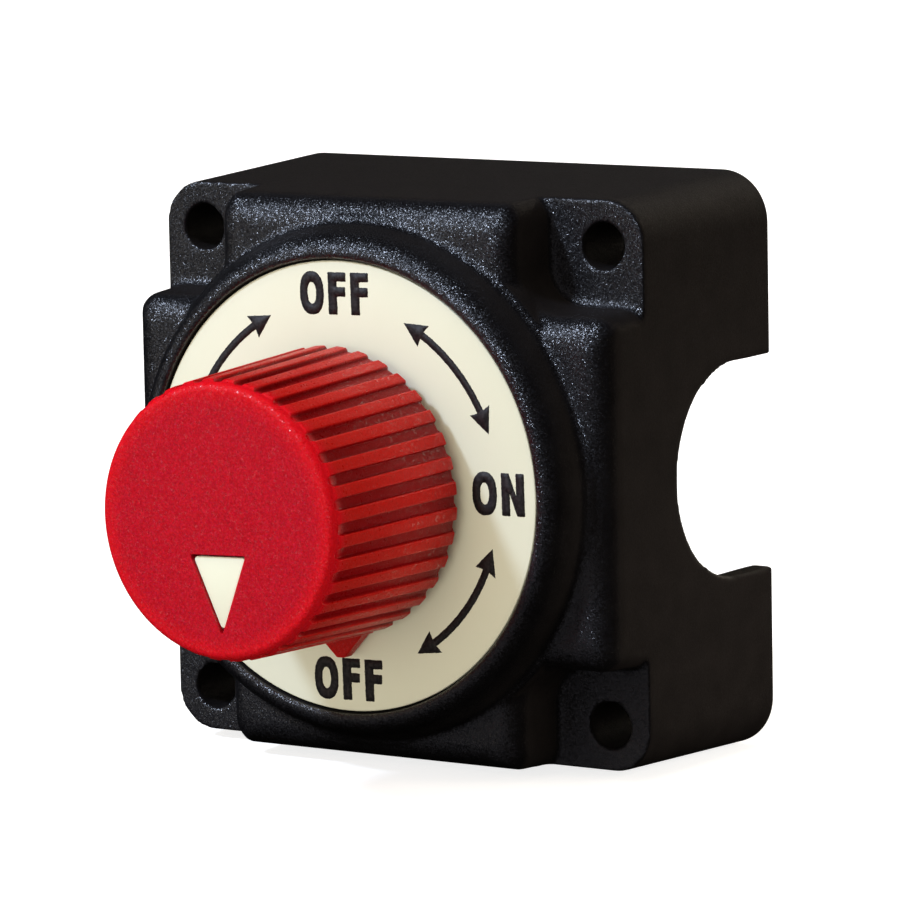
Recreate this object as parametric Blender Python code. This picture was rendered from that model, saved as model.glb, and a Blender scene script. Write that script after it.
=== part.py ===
"""Single-circuit rotary battery switch: moulded housing, ribbed knob, contact set and terminals.

The back of the housing is the plane y = 0, the spindle runs along -Y and +Z is up.
"""
from math import cos, hypot, pi, radians, sin

import bmesh
import bpy

MM = 0.001

# Housing, millimetres
BACK_HALF = 34.5          # half width of the square body at the back
BODY_DRAFT = 0.0412       # half width lost per millimetre towards the front
BACK_CORNER_R = 6.0
PAD_CORNER_R = 5.0
PAD_Y = -26.7             # screw seats in the four corners
PLATEAU_Y = -35.2         # front of the raised cross
ARM_SHOULDER_R = 3.8
POCKET_SHOULDER_R = 3.2
POCKET_FOOT = 21.6        # where a corner seat's flat ends
POCKET_WALL = 20.9
POCKET_CORNER_R = 4.2
ARM_CORNER_R = 3.0
HOLE_PITCH_HALF = 28.0
HOLE_R = 2.75
WALL = 2.9
BAY_Y = -22.4             # front of the terminal bay
BOSS_R = 5.2
NOTCH_HALF = 12.75        # cable notch in each side wall
NOTCH_CENTRE_Y = -7.3

# Dial and bezel
BEZEL_BASE_R = 30.4
DIAL_R = 26.5
DIAL_FRONT_Y = -39.7
DIAL_T = 1.0
RECESS_R = 26.7
FLOOR_Y = -38.6

# Contact chamber
CHAMBER_R = 24.0
CHAMBER_Y = -36.4
PLATE_POCKET_R = 30.2
LEDGE_Y = -25.9
BORE_R = 6.1

# Knob
KNOB_FACE_Y = -65.5
KNOB_BACK_Y = -40.4
KNOB_RIB_BACK_Y = -41.3
KNOB_R_FRONT = 16.1
KNOB_R_BACK = 17.05
KNOB_RIBS = 36
GROOVE_TIP_Y = -64.6      # front end of the grooves
GROOVE_FULL_Y = -62.5     # full depth from here back
GROOVE_DEPTH_FRONT = 0.70
GROOVE_DEPTH_BACK = 0.42
RING_STEP = 0.25          # the smooth ring ahead of the ribs is this much smaller
POINTER_TURN = 2.2        # degrees the pointer and its window stand past square at rest
WINDOW_HALF = 3.85
WINDOW_TOP = -4.25
WINDOW_TIP = -13.6
GAP = 0.3                 # between an inlaid or keyed piece and its seat
SQUARE = 8.0              # drive square of the spindle
SOCKET_HALF = SQUARE / 2 + 0.15

# Terminals
STUD_X = 17.0
STUD_R = 4.95
STUD_END_Y = -2.5
PLATE_BACK_Y = -22.5
PLATE_FRONT_Y = -25.3
PLATE_R = 30.0
SCREW_PCR = 27.6

COLOURS = {
    "black": (0.020, 0.019, 0.020, 1.0),
    "red": (0.62, 0.025, 0.022, 1.0),
    "cream": (0.86, 0.87, 0.72, 1.0),
    "black_inner": (0.045, 0.045, 0.048, 1.0),
    "white_nylon": (0.72, 0.70, 0.64, 1.0),
    "rubber": (0.030, 0.030, 0.030, 1.0),
    "copper": (0.80, 0.42, 0.27, 1.0),
    "silver": (0.86, 0.85, 0.82, 1.0),
    "tinned": (0.70, 0.70, 0.68, 1.0),
    "steel": (0.62, 0.62, 0.62, 1.0),
}


def clear_start_objects():
    for obj in list(bpy.data.objects):
        bpy.data.objects.remove(obj, do_unlink=True)


def material(name, colour, metallic=0.0, roughness=0.5):
    mat = bpy.data.materials.new(name)
    mat.use_nodes = True
    shader = mat.node_tree.nodes["Principled BSDF"]
    shader.inputs["Base Color"].default_value = COLOURS[colour]
    shader.inputs["Metallic"].default_value = metallic
    shader.inputs["Roughness"].default_value = roughness
    return mat


def mesh_object(name, verts, faces, smooth=False):
    """A closed mesh object from millimetre points, with its normals turned outwards."""
    mesh = bpy.data.meshes.new(name)
    mesh.from_pydata([tuple(c * MM for c in v) for v in verts], [], faces)
    work = bmesh.new()
    work.from_mesh(mesh)
    bmesh.ops.recalc_face_normals(work, faces=work.faces)
    work.to_mesh(mesh)
    work.free()
    for face in mesh.polygons:
        face.use_smooth = smooth
    obj = bpy.data.objects.new(name, mesh)
    bpy.context.scene.collection.objects.link(obj)
    return obj


def loft(name, loops, smooth=False):
    """A solid through closed loops of equal length, capped at both ends."""
    n = len(loops[0])
    verts = [p for loop in loops for p in loop]
    faces = []
    for k in range(len(loops) - 1):
        for i in range(n):
            j = (i + 1) % n
            faces.append((k * n + i, k * n + j, (k + 1) * n + j, (k + 1) * n + i))
    faces.append(tuple(range(n)))
    faces.append(tuple(range((len(loops) - 1) * n, len(loops) * n)))
    return mesh_object(name, verts, faces, smooth)


def revolve(name, profile, segments, smooth=True, x=0.0, z=0.0):
    """A solid of revolution about an axis along Y. A closed profile of (radius, y)
    makes a ring, and one whose two ends are on the axis makes a solid."""
    solid = profile[0][0] == 0.0
    rings = profile[1:-1] if solid else profile
    verts = []
    for r, y in rings:
        for i in range(segments):
            a = 2 * pi * i / segments
            verts.append((x + r * cos(a), y, z + r * sin(a)))
    faces = []
    count = len(rings)
    for k in range(count - 1 if solid else count):
        n = (k + 1) % count
        for i in range(segments):
            j = (i + 1) % segments
            faces.append((k * segments + i, k * segments + j, n * segments + j, n * segments + i))
    if solid:
        first, last = len(verts), len(verts) + 1
        verts += [(x, profile[0][1], z), (x, profile[-1][1], z)]
        base = (count - 1) * segments
        for i in range(segments):
            j = (i + 1) % segments
            faces.append((first, i, j))
            faces.append((last, base + j, base + i))
    return mesh_object(name, verts, faces, smooth)


def cylinder(name, radius, y0, y1, segments=32, x=0.0, z=0.0):
    return revolve(name, [(0.0, y0), (radius, y0), (radius, y1), (0.0, y1)], segments, True, x, z)


def tube(name, r_in, r_out, y0, y1, segments=32, x=0.0, z=0.0):
    profile = [(r_in, y0), (r_out, y0), (r_out, y1), (r_in, y1)]
    return revolve(name, profile, segments, True, x, z)


def prism(name, points, y0, y1, smooth=False):
    """A solid between y0 and y1 with the given (x, z) outline."""
    return loft(name, [[(px, y0, pz) for px, pz in points], [(px, y1, pz) for px, pz in points]], smooth)


def block(name, x0, x1, y0, y1, z0, z1):
    return prism(name, [(x0, z0), (x1, z0), (x1, z1), (x0, z1)], y0, y1)


def join(name, objects):
    """One mesh object holding several separate shells, used only as a cutter."""
    verts, faces = [], []
    for obj in objects:
        base = len(verts)
        verts += [tuple(c / MM for c in v.co) for v in obj.data.vertices]
        faces += [tuple(base + i for i in f.vertices) for f in obj.data.polygons]
        bpy.data.objects.remove(obj, do_unlink=True)
    return mesh_object(name, verts, faces)


def boolean(target, tool, operation):
    modifier = target.modifiers.new(operation.lower(), "BOOLEAN")
    modifier.operation = operation
    modifier.solver = "EXACT"
    modifier.object = tool
    tool.hide_render = True
    tool.display_type = "WIRE"


def cut(target, *tools):
    for tool in tools:
        boolean(target, tool, "DIFFERENCE")


def add(target, *tools):
    for tool in tools:
        boolean(target, tool, "UNION")


def arc(cx, cz, r, start, stop, steps):
    """Points on a circle in the x, z plane, angles in degrees."""
    points = []
    for k in range(steps + 1):
        a = radians(start + (stop - start) * k / steps)
        points.append((cx + r * cos(a), cz + r * sin(a)))
    return points


def rounded_square(half, r, y, steps=5):
    points = []
    c = half - r
    for cx, cz, start in ((c, c, 0), (-c, c, 90), (-c, -c, 180), (c, -c, 270)):
        points += arc(cx, cz, r, start, start + 90, steps)
    return [(px, y, pz) for px, pz in points]


# ---------------------------------------------------------------- housing

def body_half(y):
    """Half width of the body's outside at a depth, with the rounded front shoulder."""
    start = PLATEAU_Y + ARM_SHOULDER_R
    if y >= start:
        return BACK_HALF + BODY_DRAFT * y
    inset = ARM_SHOULDER_R ** 2 - (y - start) ** 2
    return BACK_HALF + BODY_DRAFT * start - ARM_SHOULDER_R + max(inset, 0.0) ** 0.5


def body_corner(y):
    return BACK_CORNER_R + (PAD_CORNER_R - BACK_CORNER_R) * min(1.0, y / PAD_Y)


def shoulder_levels(radius, steps):
    start = PLATEAU_Y + radius
    return [start - radius * sin(pi / 2 * k / steps) for k in range(1, steps + 1)]


def pocket_levels():
    """(y, wall position) up a corner pocket: foot fillet, drafted wall, shoulder."""
    levels = [(PAD_Y, POCKET_FOOT), (PAD_Y - 0.22, POCKET_WALL + 0.2), (PAD_Y - 0.8, POCKET_WALL)]
    start = PLATEAU_Y + POCKET_SHOULDER_R
    top = POCKET_WALL - 0.3
    levels.append((start, top))
    for k in range(1, 6):
        a = pi / 2 * k / 5
        levels.append((start - POCKET_SHOULDER_R * sin(a), top - POCKET_SHOULDER_R * (1 - cos(a))))
    levels.append((PLATEAU_Y - 0.6, top - POCKET_SHOULDER_R - 0.4))
    return levels


def pocket_outline(wall, y):
    """Outline of the upper right corner pocket at one depth."""
    end = body_half(max(y, PLATEAU_Y)) - ARM_CORNER_R + 0.35
    flare = wall - ARM_CORNER_R
    centre = POCKET_FOOT + POCKET_CORNER_R
    inner = centre - wall
    side = arc(flare, end, ARM_CORNER_R, 68, 0, 4)
    lower = [(pz, px) for px, pz in reversed(side)]
    corner = arc(centre, centre, inner, 180, 270, 6)
    far = 44.0
    first = (side[0][0], far)
    last = (far, side[0][0])
    return [(far, far), first] + side + corner + lower + [last]


def pocket_cutter(sx, sz):
    loops = []
    for y, wall in pocket_levels():
        loops.append([(sx * px, y, sz * pz) for px, pz in pocket_outline(wall, y)])
    return loft("pocket", loops)


def bezel_solid():
    r = BEZEL_BASE_R
    profile = [(0.0, -33.0), (r + 0.2, -33.0), (r, PLATEAU_Y), (r - 0.45, -37.2), (r - 0.85, -38.3)]
    profile += [(r - 1.35, -39.2), (r - 1.95, -39.9), (r - 2.6, -40.35), (r - 3.15, -40.45)]
    profile += [(RECESS_R + 0.22, -40.38), (RECESS_R - 0.1, -40.1), (0.0, -40.1)]
    return revolve("bezel", profile, 64)


def bay_cutter():
    loops = []
    for y in (1.0, BAY_Y):
        loops.append(rounded_square(body_half(min(y, 0.0)) - WALL, 4.1, y, 3))
    bay = loft("bay", loops)
    bosses = []
    for sx in (-1, 1):
        for sz in (-1, 1):
            bosses.append(cylinder("boss", BOSS_R, 3.0, BAY_Y - 3.0, 24,
                                   sx * HOLE_PITCH_HALF, sz * HOLE_PITCH_HALF))
    cut(bay, join("bosses", bosses))
    return bay


def notch_cutter():
    """Both cable notches at once: a U-shaped bar that runs through the side walls."""
    outline = [(2.0, -NOTCH_HALF)]
    for k in range(19):
        a = radians(-90 - 10 * k)
        outline.append((NOTCH_CENTRE_Y + NOTCH_HALF * cos(a), NOTCH_HALF * sin(a)))
    outline.append((2.0, NOTCH_HALF))
    loops = [[(x, y, z) for y, z in outline] for x in (-40.0, 40.0)]
    return loft("notch", loops)


def screw_places(radius):
    return [(radius * cos(radians(a)), radius * sin(radians(a))) for a in (45, 135, 225, 315)]


def make_housing():
    depths = [0.0, PAD_Y, PLATEAU_Y + ARM_SHOULDER_R] + shoulder_levels(ARM_SHOULDER_R, 5)
    loops = [rounded_square(body_half(y), body_corner(y), y) for y in depths]
    housing = loft("housing", loops)
    pockets = join("pockets", [pocket_cutter(sx, sz) for sx in (-1, 1) for sz in (-1, 1)])
    recess = cylinder("dial_recess", RECESS_R, FLOOR_Y, -46.0, 64)
    chamber = revolve("chamber", [(0.0, -20.0), (PLATE_POCKET_R, -20.0), (PLATE_POCKET_R, LEDGE_Y),
                                  (CHAMBER_R, LEDGE_Y), (CHAMBER_R, CHAMBER_Y), (0.0, CHAMBER_Y)], 48)
    drills = [cylinder("drill", BORE_R, -30.0, -46.0, 40)]
    for sx in (-1, 1):
        for sz in (-1, 1):
            drills.append(cylinder("drill", HOLE_R, 4.0, -40.0, 24,
                                   sx * HOLE_PITCH_HALF, sz * HOLE_PITCH_HALF))
    for px, pz in screw_places(SCREW_PCR):
        drills.append(cylinder("drill", 1.5, -24.0, -33.0, 12, px, pz))
    cut(housing, pockets)
    add(housing, bezel_solid())
    cut(housing, recess, chamber, bay_cutter(), notch_cutter(), join("drills", drills))
    return housing


def make_dial_plate():
    back = DIAL_FRONT_Y + DIAL_T
    profile = [(8.7, back), (DIAL_R - 0.05, back), (DIAL_R - 0.05, DIAL_FRONT_Y + 0.15),
               (DIAL_R - 0.2, DIAL_FRONT_Y), (8.7, DIAL_FRONT_Y)]
    return revolve("dial_plate", profile, 64, False)


# ---------------------------------------------------------------- knob

def knob_radius(y):
    t = (y - KNOB_FACE_Y) / (KNOB_RIB_BACK_Y - KNOB_FACE_Y)
    return KNOB_R_FRONT + (KNOB_R_BACK - KNOB_R_FRONT) * t


def knob_loop(y, tip, root):
    """One loop round the ribs: flat-topped ribs with sloping flanks, and a groove centred on each pitch."""
    points = []
    pitch = 2 * pi / KNOB_RIBS
    for k in range(KNOB_RIBS):
        for part, r in ((-0.16, root), (0.16, root), (0.235, tip), (0.765, tip)):
            a = pitch * (k + part)
            points.append((r * cos(a), y, r * sin(a)))
    return points


def turned(points, degrees):
    """Points turned about the spindle axis, anticlockwise as seen from the front."""
    c, s = cos(radians(degrees)), sin(radians(degrees))
    return [(x * c - z * s, x * s + z * c) for x, z in points]


def make_knob():
    ring_r = knob_radius(GROOVE_TIP_Y) - RING_STEP
    full_r = knob_radius(GROOVE_FULL_Y)
    back_root = KNOB_R_BACK - GROOVE_DEPTH_BACK
    loops = [knob_loop(KNOB_FACE_Y, ring_r - 0.85, ring_r - 0.85),
             knob_loop(KNOB_FACE_Y + 0.25, ring_r - 0.3, ring_r - 0.3),
             knob_loop(GROOVE_TIP_Y, ring_r, ring_r),
             knob_loop(GROOVE_TIP_Y + 0.5, ring_r + RING_STEP, ring_r + RING_STEP - GROOVE_DEPTH_FRONT * 0.7),
             knob_loop(GROOVE_FULL_Y, full_r, full_r - GROOVE_DEPTH_FRONT),
             knob_loop(KNOB_RIB_BACK_Y - 0.3, KNOB_R_BACK, back_root),
             knob_loop(KNOB_RIB_BACK_Y, KNOB_R_BACK - 0.35, back_root - 0.1),
             knob_loop(KNOB_BACK_Y, KNOB_R_BACK - 1.3, KNOB_R_BACK - 1.35)]
    knob = loft("knob", loops)
    cavity_profile = [(7.4, -39.0), (14.2, -39.0), (12.6, -61.6), (12.0, -62.2), (7.4, -62.2)]
    cavity = revolve("knob_cavity", cavity_profile, 36)
    socket = block("knob_socket", -SOCKET_HALF, SOCKET_HALF, -39.0, -58.6, -SOCKET_HALF, SOCKET_HALF)
    relief = cylinder("knob_relief", 9.4, -39.0, -43.2, 36)
    window_outline = [(-WINDOW_HALF, WINDOW_TOP), (WINDOW_HALF, WINDOW_TOP), (0.0, WINDOW_TIP)]
    window = prism("knob_window", turned(window_outline, POINTER_TURN), -64.2, -67.0)
    nib_outline = [(-4.0, -15.2), (4.0, -15.2), (4.0, -16.15),
                   (0.55, -19.75), (-0.55, -19.75), (-4.0, -16.15)]
    nib = prism("knob_nib", turned(nib_outline, POINTER_TURN), KNOB_BACK_Y + 0.02, KNOB_BACK_Y - 1.7)
    add(knob, nib)
    cut(knob, cavity, relief, socket, window)
    return knob


def make_pointer_insert():
    """Inlaid triangle with the same gap to its window all round."""
    slope = WINDOW_HALF / (WINDOW_TOP - WINDOW_TIP)
    side_gap = GAP * hypot(1.0, slope)
    top = WINDOW_TOP - GAP
    half = slope * (top - WINDOW_TIP) - side_gap
    outline = [(-half, top), (half, top), (0.0, WINDOW_TIP + side_gap / slope)]
    return prism("pointer_insert", turned(outline, POINTER_TURN), -64.25, KNOB_FACE_Y + 0.4)


# ---------------------------------------------------------------- spindle set

def make_spindle():
    """Round journal with seal and ring grooves, a drive square in front and a spring bore behind."""
    profile = [(0.0, -33.7), (7.0, -33.7), (7.0, -34.5), (5.6, -34.5), (5.6, -35.75), (5.95, -35.75),
               (5.95, -36.75), (4.75, -36.75), (4.75, -38.15), (5.95, -38.15), (5.95, -38.65),
               (5.15, -38.65), (5.15, -39.65), (5.95, -39.65), (5.95, -42.6), (5.5, -43.0), (0.0, -43.0)]
    spindle = revolve("spindle", profile, 36)
    half = SQUARE / 2
    corners = ((1, 1), (-1, 1), (-1, -1), (1, -1))
    levels = ((-42.4, half), (-57.4, half), (-58.0, half - 0.6))
    drive_loops = [[(sx * reach, y, sz * reach) for sx, sz in corners] for y, reach in levels]
    drive = loft("spindle_drive", drive_loops)
    bore = cylinder("spindle_bore", 3.1, -32.0, -41.7, 24)
    flats = [block("flat", sx * 5.0, sx * 8.0, -34.53, -35.9, -8.0, 8.0) for sx in (-1, 1)]
    add(spindle, drive)
    cut(spindle, bore, join("spindle_flats", flats))
    return spindle


def make_retaining_ring():
    outline = arc(0.0, 0.0, 7.9, 20, 340, 28) + arc(0.0, 0.0, 5.4, 340, 20, 28)
    return prism("retaining_ring", outline, -38.75, -39.5)


def make_thrust_washer():
    return tube("thrust_washer", 6.4, 12.0, -35.8, -36.3, 32)


def make_shaft_seal():
    profile = [(5.41 + 0.6 * cos(radians(a)), -37.45 + 0.6 * sin(radians(a))) for a in range(0, 360, 60)]
    return revolve("shaft_seal", profile, 32)


def rotor_outline():
    """Disc edge with four detent notches, one at each switch position."""
    radius, notch_r, notch_c = 20.6, 2.2, 21.6
    points = []
    for quarter in range(4):
        points += arc(0.0, 0.0, radius, 90 * quarter + 5.5, 90 * quarter + 84.5, 9)
        a = radians(90 * quarter + 90)
        out = (cos(a), sin(a))
        side = (-sin(a), cos(a))
        for b in (-60, -38, 0, 38, 60):
            reach = notch_c - notch_r * cos(radians(b))
            shift = notch_r * sin(radians(b))
            points.append((reach * out[0] + shift * side[0], reach * out[1] + shift * side[1]))
    return points


def make_rotor():
    """Disc keyed on the spindle, with two cheeks that carry the contact bridge."""
    rotor = prism("rotor", rotor_outline(), -33.6, -35.7)
    for sx in (-1, 1):
        add(rotor, block("cheek", sx * 7.4, sx * 9.8, -34.2, -29.95, -9.5, 9.5))
        for sz in (-1, 1):
            add(rotor, block("guide", sx * 5.75, sx * 7.8, -34.3, -29.95, sz * 7.4, sz * 9.3))
            add(rotor, block("lip", sx * 4.6, sx * 6.2, -30.5, -30.05, sz * 7.5, sz * 9.2))
    seat = cylinder("rotor_seat", 7.2, -30.0, -34.6, 36)
    outline = [(max(-5.12, min(5.12, px)), pz) for px, pz in arc(0.0, 0.0, 5.75, 0, 354, 59)]
    cut(rotor, seat, prism("rotor_hole", clean(outline), -30.0, -39.0))
    return rotor


def clean(points):
    """Drop points that repeat."""
    kept = []
    for p in points:
        if not kept or hypot(p[0] - kept[-1][0], p[1] - kept[-1][1]) > 0.05:
            kept.append(p)
    return kept


# ---------------------------------------------------------------- contacts

def make_contact_bridge():
    half = 5.5
    reach = 22.0
    edge = 90 - 14.0
    outline = arc(0.0, 0.0, reach, edge, 180 - edge, 8) + arc(0.0, 0.0, reach, 180 + edge, 360 - edge, 8)
    outline = [(max(-half, min(half, px)), pz) for px, pz in outline]
    bridge = prism("contact_bridge", clean(outline), -30.6, -32.9)
    seat = cylinder("bridge_seat", 3.2, -32.5, -34.0, 24)
    cut(bridge, seat)
    return bridge


def make_tip(name, x, z, y0, y1, radius):
    """Silver contact button whose edge is bevelled at the y1 end."""
    edge = 0.2 if y1 > y0 else -0.2
    profile = [(0.0, y0), (radius, y0), (radius, y1 - edge), (radius - 0.4, y1), (0.0, y1)]
    return revolve(name, profile, 22, False, x, z)


def make_contact_spring():
    """Closed-end coil in the spindle's blind bore."""
    turns, steps, wire, coil = 4.5, 12, 0.36, 2.55
    y0, y1 = -41.25, -32.95
    loops = []
    total = int(turns * steps)
    for k in range(total + 1):
        t = k / total
        a = 2 * pi * turns * t
        y = y0 + (y1 - y0) * t
        lead = (y1 - y0) / (2 * pi * turns)
        tangent = (-coil * sin(a), lead, coil * cos(a))
        size = (tangent[0] ** 2 + tangent[1] ** 2 + tangent[2] ** 2) ** 0.5
        tangent = tuple(c / size for c in tangent)
        out = (cos(a), 0.0, sin(a))
        side = (tangent[1] * out[2] - tangent[2] * out[1], tangent[2] * out[0] - tangent[0] * out[2],
                tangent[0] * out[1] - tangent[1] * out[0])
        centre = (coil * cos(a), y + (wire if t < 0.5 else -wire) * abs(1 - 2 * t), coil * sin(a))
        loop = []
        for s in range(5):
            b = 2 * pi * s / 5
            loop.append(tuple(centre[i] + wire * (cos(b) * out[i] + sin(b) * side[i]) for i in range(3)))
        loops.append(loop)
    return loft("contact_spring", loops, True)


def make_detent_spring(name, sign):
    """Stainless leaf whose hump rests in one notch of the rotor."""
    middle = []
    for a in range(-36, -7, 4):
        middle.append((a, 22.0 + 1.45 * ((abs(a) - 8) / 28.0) ** 2))
    middle += [(-5.4, 21.75), (-3.9, 21.2), (-2.6, 20.55), (-1.2, 20.16), (0.0, 20.05)]
    middle += [(-a, r) for a, r in reversed(middle[:-1])]
    outer, inner = [], []
    for k, (a, r) in enumerate(middle):
        x, z = r * sin(radians(a)), r * cos(radians(a))
        before = middle[max(0, k - 1)]
        after = middle[min(len(middle) - 1, k + 1)]
        dx = after[1] * sin(radians(after[0])) - before[1] * sin(radians(before[0]))
        dz = after[1] * cos(radians(after[0])) - before[1] * cos(radians(before[0]))
        size = hypot(dx, dz)
        nx, nz = -dz / size, dx / size
        outer.append((x + 0.16 * nx, z + 0.16 * nz))
        inner.append((x - 0.16 * nx, z - 0.16 * nz))
    outline = [(px * sign, pz * sign) for px, pz in outer + inner[::-1]]
    return prism(name, outline, -33.7, -35.5)


# ---------------------------------------------------------------- base plate and terminals

def make_base_plate():
    plate = cylinder("base_plate", PLATE_R, PLATE_BACK_Y, PLATE_FRONT_Y, 48)
    barrier = block("barrier", -1.1, 1.1, PLATE_BACK_Y - 1.0, -4.0, -26.0, 26.0)
    add(plate, barrier)
    for sx in (-1, 1):
        for sz in (-1, 1):
            add(plate, block("stop", sx * 11.2, sx * 21.8, PLATE_FRONT_Y + 1.0, -27.8, sz * 7.35, sz * 8.7))
    holes = [cylinder("hole", STUD_R + 0.2, -20.0, -30.0, 28, sx * STUD_X, 0.0) for sx in (-1, 1)]
    holes += [cylinder("hole", 1.7, -20.0, -30.0, 12, px, pz) for px, pz in screw_places(SCREW_PCR)]
    cut(plate, join("plate_holes", holes))
    return plate


def make_base_gasket():
    return tube("base_gasket", 24.3, 25.85, -25.35, -25.85, 40)


def make_base_screw(name, x, z):
    profile = [(0.0, -32.2), (0.7, -32.2), (1.35, -31.0), (1.35, -22.42), (2.75, -22.42), (2.75, -21.5),
               (2.2, -20.75), (1.2, -20.5), (0.0, -20.5)]
    screw = revolve(name, profile, 14, True, x, z)
    bars = [block("bar", x - 1.5, x + 1.5, -21.6, -19.0, z - 0.32, z + 0.32),
            block("bar", x - 0.32, x + 0.32, -21.6, -19.0, z - 1.5, z + 1.5)]
    cut(screw, *bars)
    return screw


def make_terminal_stud(name, sx):
    head = prism(name, [(sx * (STUD_X - 5.4), -7.1), (sx * (STUD_X + 5.4), -7.1), (sx * (STUD_X + 5.4), 7.1),
                        (sx * (STUD_X - 5.4), 7.1)], -25.4, -28.6)
    profile = [(0.0, -26.6), (STUD_R, -26.6), (STUD_R, STUD_END_Y - 0.9), (STUD_R - 0.9, STUD_END_Y),
               (0.0, STUD_END_Y)]
    add(head, revolve("stud_shank", profile, 28, True, sx * STUD_X, 0.0))
    return head


def make_flat_washer(name, sx):
    return tube(name, 5.25, 10.0, -20.5, -22.4, 28, sx * STUD_X)


def make_spring_washer(name, sx):
    """One turn of square wire with a gap, its ends slightly out of line."""
    x = sx * STUD_X
    loops = []
    steps = 30
    for k in range(steps + 1):
        a = radians(96 + 348 * k / steps)
        rise = 0.35 * k / steps
        loops.append([(x + r * cos(a), y, r * sin(a))
                      for r, y in ((5.3, -20.35 + rise), (9.0, -20.35 + rise),
                                   (9.0, -18.55 + rise), (5.3, -18.55 + rise))])
    return loft(name, loops)


def make_terminal_nut(name, sx):
    """Hexagon nut with both faces chamfered."""
    x = sx * STUD_X
    outline = arc(x, 0.0, 8.5 / cos(radians(30)), 30, 330, 5)
    nut = prism(name, outline, -18.0, -10.0)
    chamfer = revolve("nut_chamfer", [(0.0, -18.3), (7.9, -18.3), (9.9, -17.2), (9.9, -10.8), (7.9, -9.7),
                                      (0.0, -9.7)], 30, True, x, 0.0)
    boolean(nut, chamfer, "INTERSECT")
    cut(nut, cylinder("nut_bore", 5.15, -6.0, -22.0, 28, x, 0.0))
    return nut


def pair(prefix, builder):
    """The same piece made on both sides of the plane x = 0."""
    return [builder(prefix + "_left", -1), builder(prefix + "_right", 1)]


def build():
    clear_start_objects()
    housing_black = material("housing_black", "black", 0.0, 0.45)
    knob_red = material("knob_red", "red", 0.0, 0.4)
    dial_cream = material("dial_cream", "cream", 0.0, 0.35)
    insert_cream = material("insert_cream", "cream", 0.0, 0.35)
    spindle_black = material("spindle_black", "black_inner", 0.0, 0.4)
    rotor_white = material("rotor_white", "white_nylon", 0.0, 0.45)
    washer_white = material("washer_white", "white_nylon", 0.0, 0.5)
    seal_rubber = material("seal_rubber", "rubber", 0.0, 0.7)
    bridge_copper = material("bridge_copper", "copper", 1.0, 0.35)
    tip_silver = material("tip_silver", "silver", 1.0, 0.3)
    stud_tinned = material("stud_tinned", "tinned", 1.0, 0.35)
    spring_steel = material("spring_steel", "steel", 1.0, 0.3)
    hardware_steel = material("hardware_steel", "steel", 1.0, 0.35)
    plate_black = material("plate_black", "black_inner", 0.0, 0.5)

    made = {housing_black: [make_housing()], knob_red: [make_knob()], dial_cream: [make_dial_plate()],
            insert_cream: [make_pointer_insert()], spindle_black: [make_spindle()],
            rotor_white: [make_rotor()], washer_white: [make_thrust_washer()],
            seal_rubber: [make_shaft_seal(), make_base_gasket()],
            bridge_copper: [make_contact_bridge()], plate_black: [make_base_plate()]}
    made[tip_silver] = [make_tip("bridge_tip_upper", 0.0, STUD_X, -30.55, -29.75, 4.0),
                        make_tip("bridge_tip_lower", 0.0, -STUD_X, -30.55, -29.75, 4.0),
                        make_tip("stud_tip_left", -STUD_X, 0.0, -28.65, -29.45, 4.2),
                        make_tip("stud_tip_right", STUD_X, 0.0, -28.65, -29.45, 4.2)]
    made[spring_steel] = [make_contact_spring(), make_detent_spring("detent_spring_upper", 1),
                          make_detent_spring("detent_spring_lower", -1), make_retaining_ring()]
    made[stud_tinned] = pair("terminal_stud", make_terminal_stud)
    made[hardware_steel] = (pair("flat_washer", make_flat_washer) + pair("spring_washer", make_spring_washer)
                            + pair("terminal_nut", make_terminal_nut))
    made[hardware_steel] += [make_base_screw("base_screw_%d" % (k + 1), px, pz)
                             for k, (px, pz) in enumerate(screw_places(SCREW_PCR))]
    for mat, objects in made.items():
        for obj in objects:
            obj.data.materials.append(mat)


build()
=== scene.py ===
"""Looks of the rotary battery switch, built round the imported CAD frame.

Lengths are millimetres in the shape code and metres on the objects. The spindle lies along -Y and +Z is up.
"""
from math import atan2, ceil, copysign, cos, degrees, hypot, pi, radians, sin, sqrt

import bmesh
import bpy
import numpy as np
from mathutils import Matrix, Vector
from mathutils.geometry import delaunay_2d_cdt

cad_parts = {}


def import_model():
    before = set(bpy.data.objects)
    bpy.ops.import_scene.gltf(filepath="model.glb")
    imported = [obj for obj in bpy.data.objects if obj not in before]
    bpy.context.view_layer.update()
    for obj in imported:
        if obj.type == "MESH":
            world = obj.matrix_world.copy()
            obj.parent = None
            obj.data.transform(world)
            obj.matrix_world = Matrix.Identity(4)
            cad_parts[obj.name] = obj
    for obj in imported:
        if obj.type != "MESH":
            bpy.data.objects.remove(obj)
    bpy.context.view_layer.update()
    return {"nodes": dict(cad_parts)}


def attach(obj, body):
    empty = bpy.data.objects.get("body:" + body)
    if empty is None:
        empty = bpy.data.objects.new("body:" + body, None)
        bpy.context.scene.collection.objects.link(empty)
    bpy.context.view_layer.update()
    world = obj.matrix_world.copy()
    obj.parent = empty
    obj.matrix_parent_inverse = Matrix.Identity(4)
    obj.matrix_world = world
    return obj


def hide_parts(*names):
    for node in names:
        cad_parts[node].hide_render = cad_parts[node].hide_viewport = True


MM = 0.001

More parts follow.
